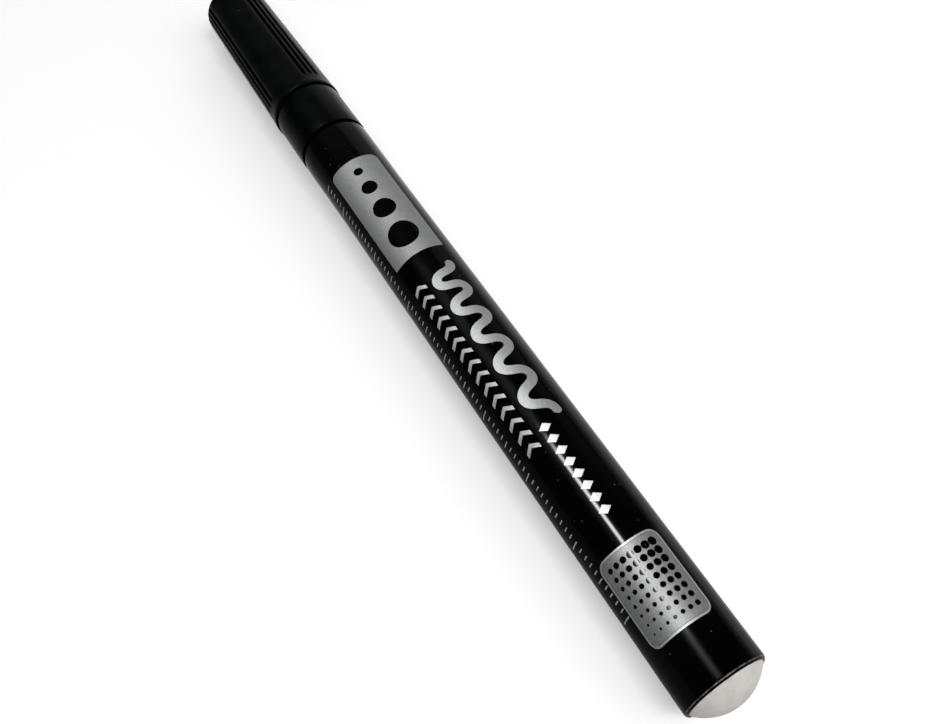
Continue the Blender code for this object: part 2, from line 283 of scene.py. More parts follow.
# Moulded black plastic: polished tooling gives the collar a soft gloss, spark-eroded tooling the cap a satin.
# Their specular level is down for the same reason as the lacquer's.
def mouldedBlack(name, hexPair, roughPair, grainSize, grainDepth):
    plastic, tree, shader, place = startMaterial(
        name, {"IOR": 1.49, "Metallic": 0.0, "Specular IOR Level": 0.028})
    flowSize = 4.0  # mm across the cloudy marks that the melt leaves
    flow = addNode(tree, "ShaderNodeTexNoise", {"Scale": 1 / flowSize, "Detail": 5.0, "Distortion": 0.6},
                   {"Vector": (place, "Vector")})
    tone = toneAndGloss(tree, shader, flow, hexPair, roughPair)[0]
    # specks drawn coarser, as on the lacquer
    addDust(tree, shader, place, tone, spacing=0.9, largest=0.10, share=0.3)
    grain = addNode(tree, "ShaderNodeTexNoise", {"Scale": 1 / grainSize, "Detail": 2.0},
                    {"Vector": (place, "Vector")})
    relief = addNode(tree, "ShaderNodeBump", {"Strength": 0.3, "Distance": grainDepth * mm},
                     {"Height": (grain, "Fac")})
    tree.links.new(relief.outputs["Normal"], shader.inputs["Normal"])
    return plastic


# Painted shade for the seams: the same black plastic in the undercuts behind and before the collar, made dull
# so that it gives back no light and reads as shade
def seamShadeBlack():
    plastic, tree, shader, place = startMaterial(
        "paintedSeamShadeAcetal", {"IOR": 1.48, "Metallic": 0.0, "Specular IOR Level": 0.0})
    scuffSize = 0.5  # mm across a scuff
    scuff = addNode(tree, "ShaderNodeTexNoise", {"Scale": 1 / scuffSize, "Detail": 3.0},
                    {"Vector": (place, "Vector")})
    toneAndGloss(tree, shader, scuff, ("#010101", "#030303"), (0.8, 0.95))
    return plastic


# Bonded polyester fibres run lengthwise and wet with ink: near black, matt, with fine streaks
def inkedFibre(name, hexPair, roughPair, strandWidth):
    fibre, tree, shader, place = startMaterial(name, {"IOR": 1.5, "Metallic": 0.0}, stretch=(12, 1, 1))
    strands = addNode(tree, "ShaderNodeTexNoise", {"Scale": 1 / strandWidth, "Detail": 3.0},
                      {"Vector": (place, "Vector")})
    toneAndGloss(tree, shader, strands, hexPair, roughPair)
    relief = addNode(tree, "ShaderNodeBump", {"Strength": 0.7, "Distance": 0.04 * mm},
                     {"Height": (strands, "Fac")})
    tree.links.new(relief.outputs["Normal"], shader.inputs["Normal"])
    return fibre


# Unpigmented polyethylene: milky and soft to the eye
def naturalPolyethylene():
    plastic, tree, shader, place = startMaterial(
        "naturalPolyethylene", {"IOR": 1.51, "Metallic": 0.0, "Subsurface Weight": 0.3,
                                "Subsurface Scale": 0.8 * mm})
    cloudSize = 2.5  # mm across a milky patch
    cloud = addNode(tree, "ShaderNodeTexNoise", {"Scale": 1 / cloudSize, "Detail": 4.0},
                    {"Vector": (place, "Vector")})
    toneAndGloss(tree, shader, cloud, ("#b9b9b1", "#d2d2ca"), (0.34, 0.48))
    return plastic


# Thin polypropylene wrap: clear, glossy, faintly creased
def wrappingFilm():
    film, tree, shader, place = startMaterial(
        "wrappingFilm", {"IOR": 1.49, "Metallic": 0.0, "Transmission Weight": 0.8})
    creaseSize = 1.2  # mm between creases
    crease = addNode(tree, "ShaderNodeTexNoise", {"Scale": 1 / creaseSize, "Detail": 3.0},
                     {"Vector": (place, "Vector")})
    toneAndGloss(tree, shader, crease, ("#c4cace", "#dce1e3"), (0.12, 0.30))
    relief = addNode(tree, "ShaderNodeBump", {"Strength": 0.3, "Distance": 0.03 * mm},
                     {"Height": (crease, "Fac")})
    tree.links.new(relief.outputs["Normal"], shader.inputs["Normal"])
    return film


lacquer = stovedBlackLacquer()
printInk = silverInk("silverFlakeInk", ("#878a89", "#9ea19f"), (0.54, 0.64))
lineInk = silverInk("silverFlakeLineInk", ("#6f7271", "#838684"), (0.54, 0.64))
fieldInk = silverInk("silverFlakeFieldInk", ("#5e6060", "#727473"), (0.52, 0.60))
plateInk = silverInk("silverFlakePlateInk", ("#626464", "#767877"), (0.60, 0.68))
borderInk = silverInk("silverFlakeBorderInk", ("#7a7d7d", "#8e9190"), (0.52, 0.60))
fineInk = silverInk("silverFlakeFineInk", ("#8e9090", "#a4a6a6"), (0.55, 0.65))
dome = offWhitePolypropylene()
glossMoulding = mouldedBlack("polishedBlackAcetal", ("#010203", "#030505"), (0.24, 0.32),
                             grainSize=0.35, grainDepth=0.003)
seamShade = seamShadeBlack()
satinMoulding = mouldedBlack("satinBlackPolypropylene", ("#020403", "#040706"), (0.30, 0.38),
                             grainSize=0.16, grainDepth=0.008)
nibFibre = inkedFibre("inkedNibFibre", ("#070708", "#17171b"), (0.58, 0.78), strandWidth=0.09)
wadding = inkedFibre("inkedWadding", ("#08080a", "#1b1b22"), (0.75, 0.93), strandWidth=0.14)
cupPlastic = naturalPolyethylene()
film = wrappingFilm()
print("materials:", len(bpy.data.materials))


# Barrel: one drawn tube, its tail edge rolled in and its mouth a little wider
barrelSpec = {"wall": 0.35, "flare": 0.12, "flareLength": 12.0, "flareEase": 300.0, "rollLength": 0.55,
              "rollDepth": 0.31, "rollSteps": 10, "mouthEdge": 0.07, "innerEdge": 0.06, "sides": 160}
barrelRadius = mouthRadius - barrelSpec["flare"]
boreRadius = barrelRadius - barrelSpec["wall"]
flareX = barrelMouth - barrelSpec["flareLength"]


def flareAt(x):
    return barrelSpec["flare"] * max(0.0, x - flareX) / barrelSpec["flareLength"]


def barrelOutline():
    roll = []
    for step in range(barrelSpec["rollSteps"]):
        angle = math.pi / 2 * step / barrelSpec["rollSteps"]
        roll.append((barrelTail + barrelSpec["rollLength"] * (1 - math.cos(angle)),
                     barrelRadius - barrelSpec["rollDepth"] * (1 - math.sin(angle))))
    return roll + filleted([
        (barrelTail + barrelSpec["rollLength"], barrelRadius, 0),
        (flareX, barrelRadius, barrelSpec["flareEase"]),
        (barrelMouth, mouthRadius, barrelSpec["mouthEdge"]),
        (barrelMouth, boreRadius + barrelSpec["flare"], barrelSpec["innerEdge"]),
        (flareX, boreRadius, barrelSpec["flareEase"]),
        (barrelTail, boreRadius, 0),
    ])


tube = turnPiece("barrel_tube", barrelOutline(), evenAngles(barrelSpec["sides"]), lacquer, closed=True)
addPiece(tube, "pen_body", "barrel")

# Tail plug: a shallow ball end that stands out of the tube, on a ribbed spigot
plugSpec = {"rimGap": 0.1, "land": 0.15, "shoulder": 0.3, "depth": 7.5, "floor": 1.4, "cupRadius": 3.9,
            "ribHeight": 0.15, "ribWidth": 0.8, "ribEdge": 0.05, "spigotEdge": 0.08, "ribs": 2,
            "domeSteps": 22, "sides": 160}


def ribbed(startX, endX, ribs):
    # spigot corners in the tube's bore, with rounded seal ribs
    def spigotAt(x):
        return boreRadius + flareAt(x) - plugSpec["rimGap"] - plugSpec["ribHeight"]

    corners = [(startX, spigotAt(startX), plugSpec["spigotEdge"])]
    for rib in range(ribs):
        middle = startX + (endX - startX) * (rib + 0.5) / ribs
        half = plugSpec["ribWidth"] / 2
        for offset, proud in ((-half, 0), (-half / 2, 1), (half / 2, 1), (half, 0)):
            x = middle + offset
            corners.append((x, spigotAt(x) + proud * plugSpec["ribHeight"], plugSpec["ribEdge"]))
    return corners + [(endX, spigotAt(endX), plugSpec["spigotEdge"])]


def plugOutline():
    rim = boreRadius - plugSpec["rimGap"]
    height = barrelTail - domeTip
    ball = (rim ** 2 + height ** 2) / (2 * height)
    sweep = math.asin(rim / ball)
    cap = []
    for step in range(plugSpec["domeSteps"] + 1):
        angle = sweep * step / plugSpec["domeSteps"]
        cap.append((domeTip + ball * (1 - math.cos(angle)), ball * math.sin(angle)))
    endX = barrelTail + plugSpec["depth"]
    floorX = barrelTail + plugSpec["floor"]
    spigot = filleted([
        (barrelTail + plugSpec["land"], rim, 0),
        *ribbed(barrelTail + plugSpec["shoulder"], endX, plugSpec["ribs"]),
        (endX, plugSpec["cupRadius"], 0.1),
        (floorX, plugSpec["cupRadius"], 0.3),
        (floorX, 0, 0),
    ])
    return cap + spigot


plug = turnPiece("tail_dome", plugOutline(), evenAngles(plugSpec["sides"]), dome)
addPiece(plug, "pen_body", "tail_plug")

# Front section: collar that shows with the cap on, then neck, snap bead and nose that show with it off.
# The sizes of the cap and its inner cup stand here too, because the neck and the nose are fitted to them.
frontSpec = {"spigotLength": 14.0, "collarLength": 10.0, "collarEdge": 0.08, "rearRelief": 0.55,
             "frontRelief": 0.30, "reliefDepth": 0.20, "neckLength": 10.5, "slide": 0.25, "beadPlace": 4.5,
             "beadWidth": 1.2, "beadHeight": 0.15, "noseStraight": 3.0, "noseWall": 0.7, "nibGap": 0.1,
             "wall": 1.2, "ribs": 3, "cupRadius": 3.9, "sides": 160}
capSpec = {"draft": 0.8, "lipHeight": 0.06, "lipLength": 0.7, "lipSlope": 0.5, "lipEdge": 0.08, "wall": 0.9,
           "floorWall": 1.2, "endEdge": 1.0, "endSteps": 12, "endLand": 0.2, "panelCentre": 24.6,
           "panelStep": 3.0, "groupAngle": 48.9, "pitch": 1.06, "grooveDepth": 0.4, "grooveStart": 2.3,
           "grooveStop": 0.7, "floorHalf": 0.21, "topHalf": 0.32, "shoulderSteps": 6, "rollWidth": 0.36,
           "rollDepth": 0.06, "rollStart": 0.9, "leastStep": 0.01, "rowStep": 0.06, "startRows": (-2, 18),
           "longRows": 14, "stopRows": 11, "dimple": 1.5, "dimpleDepth": 0.12, "dimpleSlope": 0.15}
cupSpec = {"wall": 0.7, "pressGap": 0.1, "sides": 128}
collarX = frontStart + frontSpec["spigotLength"]
neckX = collarX + frontSpec["collarLength"]
noseX = neckX + frontSpec["neckLength"]
capMouthRadius = lipRadius - capSpec["lipHeight"]


def capSide(x):
    return capMouthRadius - math.tan(math.radians(capSpec["draft"])) * (x - capMouth)


def capBore(x):
    return capSide(x) - capSpec["wall"]


noseBase = capBore(noseX) - cupSpec["pressGap"] - cupSpec["wall"] - frontSpec["slide"]
nibBore = nibRadius + frontSpec["nibGap"]
noseEnd = nibBore + frontSpec["noseWall"]


def frontOutline():
    slide = frontSpec["slide"]
    edge = frontSpec["collarEdge"]
    bead = neckX + frontSpec["beadPlace"]
    half = frontSpec["beadWidth"] / 2
    neckEnd = capBore(noseX) - slide
    cupFloor = neckX - frontSpec["wall"]
    chamber = neckEnd - frontSpec["wall"]
    relief = collarRadius - frontSpec["reliefDepth"]
    return filleted([
        (frontStart, frontSpec["cupRadius"], 0.1),
        *ribbed(frontStart, collarX, frontSpec["ribs"]),
        (collarX, relief, 0),
        (collarX + frontSpec["rearRelief"], relief, 0),
        (collarX + frontSpec["rearRelief"], collarRadius, edge),
        (neckX - frontSpec["frontRelief"], collarRadius, edge),
        (neckX - frontSpec["frontRelief"], relief, 0),
        (neckX, relief, 0),
        (neckX, capBore(capMouth) - slide, 0.12),
        (bead - half, capBore(bead - half) - slide, 0.4),
        (bead, capBore(bead) - slide + frontSpec["beadHeight"], 0.5),
        (bead + half, capBore(bead + half) - slide, 0.4),
        (noseX, neckEnd, 0.25),
        (noseX, noseBase, 0.2),
        (noseX + frontSpec["noseStraight"], noseBase, 3.0),
        (noseTip, noseEnd, 0.3),
        (noseTip, nibBore, 0.1),
        (noseX, nibBore, 0),
        (noseX, chamber, 0.2),
        (cupFloor, chamber, 0.1),
        (cupFloor, frontSpec["cupRadius"], 0.2),
    ], closed=True)


front = turnPiece("front_collar_and_nose", frontOutline(), evenAngles(frontSpec["sides"]), glossMoulding,
                  closed=True)
# a second slot holds the painted seam shade for the undercuts behind and before the collar
front.data.materials.append(seamShade)
for face in front.data.polygons:
    inRear = collarX <= face.center.x / mm <= collarX + frontSpec["rearRelief"]
    inFront = neckX - frontSpec["frontRelief"] <= face.center.x / mm <= neckX
    if inRear or inFront:
        face.material_index = 1
addPiece(front, "pen_body", "front_section")

# Nib: a ground bullet point on a fibre rod
nibSpec = {"pointLength": 3.4, "pointRadius": 0.55, "pointArc": 70, "pointSteps": 8, "shoulder": 2.5,
           "sides": 96}


def nibOutline():
    tip = []
    for step in range(nibSpec["pointSteps"] + 1):
        angle = math.radians(nibSpec["pointArc"] * step / nibSpec["pointSteps"])
        radius = nibSpec["pointRadius"]
        tip.append((nibTip - radius + radius * math.cos(angle), radius * math.sin(angle)))
    rod = filleted([
        tip[-1] + (0,),
        (nibTip - nibSpec["pointLength"], nibRadius, nibSpec["shoulder"]),
        (nibTail, nibRadius, 0.2),
        (nibTail, 0, 0),
    ])
    return tip[:-1] + rod


nib = turnPiece("fibre_nib", nibOutline(), evenAngles(nibSpec["sides"]), nibFibre, sharpAngle=50)
addPiece(nib, "pen_body", "nib")
print("pen body turned")

# Cap: drafted shell with a small lip, four groups of three grooves and a gate dimple in its end
pitchAngle = capSpec["pitch"] / capMouthRadius
grooveAngles = []
for turned in (0, 180):
    for side in (-1, 1):
        middle = math.radians(capSpec["panelCentre"] + turned + side * capSpec["groupAngle"])
        grooveAngles += [middle + step * pitchAngle for step in (-1, 0, 1)]


def capAngles():
    # close samples across each groove, wider ones over the smooth panels between the groups
    floorHalf, topHalf = capSpec["floorHalf"], capSpec["topHalf"]
    steps = capSpec["shoulderSteps"]
    across = [0.0, floorHalf / 2]
    across += [floorHalf + (topHalf - floorHalf) * step / steps for step in range(steps + 1)]
    across += [topHalf + capSpec["rollWidth"] * step / steps for step in range(1, steps + 1)]
    offsets = sorted({sign * step / capMouthRadius for step in across for sign in (-1, 1)})
    marks = sorted((centre + offset) % (2 * math.pi) for centre in grooveAngles for offset in offsets)
    angles = []
    for mark, after in zip(marks, marks[1:] + [marks[0] + 2 * math.pi]):
        if (after - mark) * capMouthRadius < capSpec["leastStep"]:
            continue  # neighbouring grooves share the samples of the land between them
        parts = max(1, round((after - mark) / math.radians(capSpec["panelStep"])))
        angles += [mark + (after - mark) * part / parts for part in range(parts)]
    return angles


def clamped(value):
    return min(1.0, max(0.0, value))


def grooveCut(x, angle):
    # depth of the grooves at a point of the cap's side: round shoulders, round blunt ends and rolled edges
    nearest = min(abs((angle - centre + math.pi) % (2 * math.pi) - math.pi) for centre in grooveAngles)
    startX = capMouth + capSpec["grooveStart"] + capSpec["topHalf"]
    stopX = capEnd - capSpec["grooveStop"] - capSpec["topHalf"]
    off = math.hypot(max(startX - x, 0.0, x - stopX), nearest * capMouthRadius)
    share = clamped((off - capSpec["floorHalf"]) / (capSpec["topHalf"] - capSpec["floorHalf"]))
    roll = clamped(1 - (off - capSpec["topHalf"]) / capSpec["rollWidth"])
    rollIn = clamped((x - capMouth - capSpec["grooveStart"]) / capSpec["rollStart"])
    groove = capSpec["grooveDepth"] * (1 - share * share * (3 - 2 * share))
    return groove + capSpec["rollDepth"] * rollIn * roll * roll


def grooved(x, radius):
    return lambda angle: min(radius, capSide(x) - grooveCut(x, angle))


def capOutline():
    floorX = capEnd - capSpec["floorWall"]
    slopeX = capMouth + capSpec["lipLength"]
    sideX = slopeX + capSpec["lipSlope"]
    inside = filleted([
        (floorX, 0, 0),
        (floorX, capBore(floorX), 0.3),
        (capMouth, capBore(capMouth), 0.15),
        (capMouth, lipRadius, capSpec["lipEdge"]),
        (slopeX, lipRadius, 0.5),
        (sideX, capSide(sideX), 0),
    ])
    # close rows at both ends of the grooves, wider ones between them
    grooveX = capMouth + capSpec["grooveStart"]
    edge = capSpec["endEdge"]
    cornerX = capEnd - edge
    startRows = [grooveX + capSpec["rowStep"] * row for row in range(*capSpec["startRows"])]
    stopRows = [cornerX - capSpec["rowStep"] * row for row in reversed(range(capSpec["stopRows"]))]
    gap = stopRows[0] - startRows[-1]
    longRows = [startRows[-1] + gap * row / capSpec["longRows"] for row in range(1, capSpec["longRows"])]
    outside = [(x, grooved(x, capSide(x))) for x in startRows + longRows + stopRows]
    cornerRadius = capSide(cornerX) - edge
    for step in range(1, capSpec["endSteps"] + 1):
        angle = math.pi / 2 * step / capSpec["endSteps"]
        x = cornerX + edge * math.sin(angle)
        outside.append((x, grooved(x, cornerRadius + edge * math.cos(angle))))
    end = filleted([
        (capEnd, cornerRadius - capSpec["endLand"], 0),
        (capEnd, capSpec["dimple"], 0.15),
        (capEnd - capSpec["dimpleDepth"], capSpec["dimple"] - capSpec["dimpleSlope"], 0.15),
        (capEnd - capSpec["dimpleDepth"], 0, 0),
    ], longest=0.8)
    return inside + outside + end


shell = turnPiece("cap_shell", capOutline(), capAngles(), satinMoulding, sharpAngle=48)
addPiece(shell, "cap_body", "cap")


# Inner cap: soft cup that closes over the nose
def cupOutline():
    coneX = noseX + frontSpec["noseStraight"]
    mouth = noseBase + frontSpec["slide"]
    chamber = noseEnd + frontSpec["slide"]
    return filleted([
        (cupEnd, 0, 0),
        (cupEnd, chamber + cupSpec["wall"], 0.3),
        (noseTip, chamber + cupSpec["wall"], 1.0),
        (coneX, capBore(coneX) - cupSpec["pressGap"], 1.0),
        (cupMouth, capBore(cupMouth) - cupSpec["pressGap"], 0.1),
        (cupMouth, mouth, 0.25),
        (coneX, mouth, 1.0),
        (noseTip, chamber, 1.0),
        (cupEnd - cupSpec["wall"], chamber, 0.5),
        (cupEnd - cupSpec["wall"], 0, 0),
    ])


cup = turnPiece("seal_cup", cupOutline(), evenAngles(cupSpec["sides"]), cupPlastic)
addPiece(cup, "cap_body", "inner_cap")
for node, material in (("ink_reservoir", wadding), ("reservoir_film", film)):
    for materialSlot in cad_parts[node].material_slots:
        materialSlot.material = material
print("cap turned:", len(shell.data.polygons), "faces")

# Print: flat loops of (distance from the tail rim, way round from the top) in mm, laid on the lacquer
printSpec = {"sunk": 0.010, "proud": 0.014, "strip": 0.30}


def box(u0, u1, v0, v1, radii, steps=8):
    # a rectangle with its own radius at each corner: (u1,v1), (u0,v1), (u0,v0), (u1,v0)
    points = []
    for quarter, (u, v, radius) in enumerate(zip((u1, u0, u0, u1), (v1, v1, v0, v0), radii)):
        du = -1 if u == u1 else 1
        dv = -1 if v == v1 else 1
        for step in range(steps + 1 if radius else 1):
            angle = math.pi / 2 * (quarter + step / steps)
            points.append((u + du * radius + radius * math.cos(angle),
                           v + dv * radius + radius * math.sin(angle)))
    return points


def disc(u, v, radius, steps):
    return [(u + radius * math.cos(a), v + radius * math.sin(a)) for a in evenAngles(steps)]


def stroke(path, width, endSteps=10):
    # outline of a pen stroke with round ends along a list of points
    left, right = [], []
    for index, here in enumerate(path):
        before = Vector(path[max(0, index - 1)])
        after = Vector(path[min(len(path) - 1, index + 1)])
        way = (after - before).normalized()
        side = Vector((-way.y, way.x)) * width / 2
        left.append(tuple(Vector(here) + side))
        right.append(tuple(Vector(here) - side))
    ends = []
    for here, edge in ((path[-1], left[-1]), (path[0], right[0])):
        arm = Vector(edge) - Vector(here)
        turns = [-math.pi * step / endSteps for step in range(1, endSteps)]
        ends.append([(here[0] + arm.x * math.cos(t) - arm.y * math.sin(t),
                      here[1] + arm.x * math.sin(t) + arm.y * math.cos(t)) for t in turns])
    return left + ends[0] + right[::-1] + ends[1]


def inFixedOrder(shape):
    # the fill numbers its corners anew in each run, so corners and faces are put in order of place
    bmesh.ops.recalc_face_normals(shape, faces=shape.faces)
    corners = sorted(shape.verts, key=lambda vert: tuple(vert.co))
    rank = {vert: index for index, vert in enumerate(corners)}
    rings = []
    for face in shape.faces:
        ring = [rank[vert] for vert in face.verts]
        first = ring.index(min(ring))
        rings.append(ring[first:] + ring[:first])
    ordered = bmesh.new()
    places = [ordered.verts.new(vert.co) for vert in corners]
    for ring in sorted(rings):
        ordered.faces.new([places[index] for index in ring])
    shape.free()
    return ordered


def layPrint(name, loops, ink):
    # fills the loops, a loop inside another being a hole, cuts them into strips and wraps them round the tube
    shape = bmesh.new()
    for loop in loops:
        corners = [shape.verts.new((u, v, 0)) for u, v in loop]
        for corner, after in zip(corners, corners[1:] + corners[:1]):
            shape.edges.new((corner, after))
    bmesh.ops.triangle_fill(shape, use_beauty=True, edges=shape.edges[:])
    low = min(vert.co.y for vert in shape.verts)
    high = max(vert.co.y for vert in shape.verts)
    strip = printSpec["strip"]
    cuts = [((0, low + cut * strip, 0), (0, 1, 0)) for cut in range(1, math.ceil((high - low) / strip))]
    for point, facing in cuts + [((flareX - barrelTail, 0, 0), (1, 0, 0))]:
        everything = shape.verts[:] + shape.edges[:] + shape.faces[:]
        bmesh.ops.bisect_plane(shape, geom=everything, dist=1e-5, plane_co=point, plane_no=facing)
    top = bmesh.ops.extrude_face_region(shape, geom=shape.faces[:], use_keep_orig=True)["geom"]
    raised = {item for item in top if isinstance(item, bmesh.types.BMVert)}
    for vert in shape.verts:
        x = barrelTail + vert.co.x
        lift = printSpec["proud"] if vert in raised else -printSpec["sunk"]
        reach = (barrelRadius + flareAt(x) + lift) * mm
        angle = vert.co.y / barrelRadius
        vert.co = (x * mm, reach * math.sin(angle), axisHeight + reach * math.cos(angle))
    addPiece(finishObject(name, inFixedOrder(shape), ink, sharpAngle=30), "pen_body")


def aroundFrom(degrees):
    return math.radians(degrees) * barrelRadius


def between(pair, share):
    return pair[0] + (pair[1] - pair[0]) * share


# Plate near the mouth: plain silver with four growing dots left black
plateSpec = {"u": (65.4, 85.9), "degrees": (-33.0, 55.8), "corner": 0.95, "tailCorner": 0.2,
             "dots": (0.7, 1.2, 1.7, 2.25), "dotSteps": 48, "margin": 1.9}
plateV = [aroundFrom(d) for d in plateSpec["degrees"]]
plateCorners = (plateSpec["corner"], plateSpec["tailCorner"], plateSpec["tailCorner"], plateSpec["corner"])
plateLoops = [box(*plateSpec["u"], *plateV, plateCorners)]
room = plateSpec["u"][1] - plateSpec["u"][0] - 2 * plateSpec["margin"]
space = (room - 2 * sum(plateSpec["dots"])) / (len(plateSpec["dots"]) - 1)
dotEdge = plateSpec["u"][1] - plateSpec["margin"]
for radius in plateSpec["dots"]:
    plateLoops.append(disc(dotEdge - radius, sum(plateV) / 2, radius, plateSpec["dotSteps"]))
    dotEdge -= 2 * radius + space
layPrint("print_plate", plateLoops, plateInk)

# Drawn line: a meander whose heading swings to and fro, flatter towards the tail
meanderSpec = {"u": 61.7, "degrees": -20.5, "swing": (84.0, 66.0), "periods": 5, "periodLength": 8.6,
               "weight": 1.3, "steps": 200}


def meanderPath():
    u, v = meanderSpec["u"], aroundFrom(meanderSpec["degrees"])
    path = [(u, v)]
    stepLength = meanderSpec["periods"] * meanderSpec["periodLength"] / meanderSpec["steps"]
    for step in range(meanderSpec["steps"]):
        share = (step + 0.5) / meanderSpec["steps"]
        swing = math.radians(between(meanderSpec["swing"], share))
        heading = swing * math.sin(2 * math.pi * meanderSpec["periods"] * share)
        u -= stepLength * math.cos(heading)
        v += stepLength * math.sin(heading)
        path.append((u, v))
    return path


meander = meanderPath()
layPrint("print_meander", [stroke(meander, meanderSpec["weight"])], lineInk)
print("meander ends", round(meander[-1][0], 2), "mm from the rim")

# A row of chevrons beside it and a row of diamonds behind it
chevronSpec = {"u": (31.75, 61.45), "degrees": (28.7, 52.2), "count": 15, "inset": 0.15,
               "weight": 0.62, "lean": 0.75}
chevronLow, chevronHigh = [aroundFrom(d) for d in chevronSpec["degrees"]]
chevronMiddle = (chevronLow + chevronHigh) / 2
chevrons = []
for index in range(chevronSpec["count"]):
    back = between(chevronSpec["u"], (index + chevronSpec["inset"]) / chevronSpec["count"])
    fore = back + chevronSpec["weight"]
    tip = chevronSpec["lean"]
    chevrons.append([(back, chevronLow), (fore, chevronLow), (fore + tip, chevronMiddle),
                     (fore, chevronHigh), (back, chevronHigh), (back + tip, chevronMiddle)])
layPrint("print_chevrons", chevrons, printInk)

diamondSpec = {"u": (21.5, 33.8), "degrees": 10.7, "count": 8, "long": 0.62, "wide": 0.85}
diamondV = aroundFrom(diamondSpec["degrees"])
diamonds = []
for index in range(diamondSpec["count"]):
    u = between(diamondSpec["u"], index / (diamondSpec["count"] - 1))
    diamonds.append([(u + diamondSpec["long"], diamondV), (u, diamondV + diamondSpec["wide"]),
                     (u - diamondSpec["long"], diamondV), (u, diamondV - diamondSpec["wide"])])
layPrint("print_diamonds", diamonds, printInk)

# Panel near the tail: silver field with dots of black that grow across it, inside a thin bright border
panelSpec = {"u": (6.3, 17.2), "degrees": (-29.2, 65.4), "corner": 1.25, "border": 0.26, "seam": 0.05,
             "columns": 8, "rows": 7, "dots": (0.10, 0.56), "dotSteps": 24, "margin": 0.55}
panelV = [aroundFrom(d) for d in panelSpec["degrees"]]


def panelBox(inset):
    return box(panelSpec["u"][0] + inset, panelSpec["u"][1] - inset, panelV[0] + inset, panelV[1] - inset,
               [panelSpec["corner"] - inset] * 4)


field = panelSpec["border"] + panelSpec["seam"]
dotInset = field + panelSpec["margin"]
panelLoops = [panelBox(field)]
for column in range(panelSpec["columns"]):
    for row in range(panelSpec["rows"]):
        shareU = (column + 0.5) / panelSpec["columns"]
        shareV = (row + 0.5) / panelSpec["rows"]
        u = between((panelSpec["u"][0] + dotInset, panelSpec["u"][1] - dotInset), shareU)
        v = between((panelV[0] + dotInset, panelV[1] - dotInset), shareV)
        radius = between(panelSpec["dots"], (shareU + 1 - shareV) / 2)
        panelLoops.append(disc(u, v, radius, panelSpec["dotSteps"]))
layPrint("print_panel", panelLoops, fieldInk)
layPrint("print_border", [panelBox(0), panelBox(panelSpec["border"])], borderInk)

# Fine millimetre scale along the side
scaleSpec = {"first": 11, "last": 86, "degrees": 68.0, "weight": 0.17, "lengths": (0.75, 1.15, 1.7)}
tickV = aroundFrom(scaleSpec["degrees"])
halfTick = scaleSpec["weight"] / 2
ticks = []
for place in range(scaleSpec["first"], scaleSpec["last"] + 1):
    count = place - scaleSpec["first"]
    length = scaleSpec["lengths"][2 if count % 10 == 0 else 1 if count % 5 == 0 else 0]
    ticks.append(box(place - halfTick, place + halfTick, tickV, tickV + length, [0] * 4))
layPrint("print_scale", ticks, fineInk)
print("print laid on the barrel")

# White table: the camera sees it lifted to white, more so beyond the lamps, and it keeps the shadow.
# The gloss sees it lifted on the bright side only, and darker on the shaded side.
floorSpec = {"size": 6.0, "colour": "#d6d6d6", "lift": (0.33, 0.97), "reach": (0.2, 0.7),
             "bright": (0.22, -0.97, 0), "ramp": (-0.014, 0.028), "mirror": 0.95, "shade": 0.62}
floorMesh = bmesh.new()
bmesh.ops.create_grid(floorMesh, x_segments=1, y_segments=1, size=floorSpec["size"] / 2)
floorMaterial = bpy.data.materials.new("whiteTable")
floorMaterial.use_nodes = True
floorTree = floorMaterial.node_tree
floorTree.nodes.clear()
floorPath = addNode(floorTree, "ShaderNodeLightPath")
floorCoords = addNode(floorTree, "ShaderNodeTexCoord")
towardsBright = addNode(floorTree, "ShaderNodeVectorMath",
                        {"operation": "DOT_PRODUCT", 1: floorSpec["bright"]}, {0: (floorCoords, "Object")})
lightSide = addNode(floorTree, "ShaderNodeMapRange",
                    {"From Min": floorSpec["ramp"][0], "From Max": floorSpec["ramp"][1],
                     "To Max": floorSpec["mirror"]}, {"Value": (towardsBright, "Value")})
mirrored = addNode(floorTree, "ShaderNodeMath", {"operation": "ADD"},
                   {0: (floorPath, "Is Glossy Ray"), 1: (floorPath, "Is Transmission Ray")})
mirroredLift = addNode(floorTree, "ShaderNodeMath", {"operation": "MULTIPLY"},
                       {0: (mirrored, "Value"), 1: (lightSide, "Result")})
away = addNode(floorTree, "ShaderNodeVectorMath", {"operation": "LENGTH"}, {0: (floorCoords, "Object")})
fill = addNode(floorTree, "ShaderNodeMapRange",
               {"From Min": floorSpec["reach"][0], "From Max": floorSpec["reach"][1],
                "To Min": floorSpec["lift"][0], "To Max": floorSpec["lift"][1]}, {"Value": (away, "Value")})
seenLift = addNode(floorTree, "ShaderNodeMath", {"operation": "MULTIPLY"},
                   {0: (floorPath, "Is Camera Ray"), 1: (fill, "Result")})
lift = addNode(floorTree, "ShaderNodeMath", {"operation": "ADD"},
               {0: (mirroredLift, "Value"), 1: (seenLift, "Value")})
glow = addNode(floorTree, "ShaderNodeEmission", {"Color": (1, 1, 1, 1)}, {"Strength": (lift, "Value")})
paperTone = linear(floorSpec["colour"])[0]
shadedTone = addNode(floorTree, "ShaderNodeMapRange",
                     {"From Min": floorSpec["ramp"][0], "From Max": floorSpec["ramp"][1],
                      "To Min": paperTone * floorSpec["shade"], "To Max": paperTone},
                     {"Value": (towardsBright, "Value")})
seenTone = addNode(floorTree, "ShaderNodeMapRange", {"To Min": paperTone},
                   {"Value": (mirrored, "Value"), "To Max": (shadedTone, "Result")})
paper = addNode(floorTree, "ShaderNodeBsdfDiffuse", links={"Color": (seenTone, "Result")})
both = addNode(floorTree, "ShaderNodeAddShader", links={0: (glow, "Emission"), 1: (paper, "BSDF")})
addNode(floorTree, "ShaderNodeOutputMaterial", links={"Surface": (both, "Shader")})
floor = finishObject("table", floorMesh, floorMaterial, sharpAngle=30)

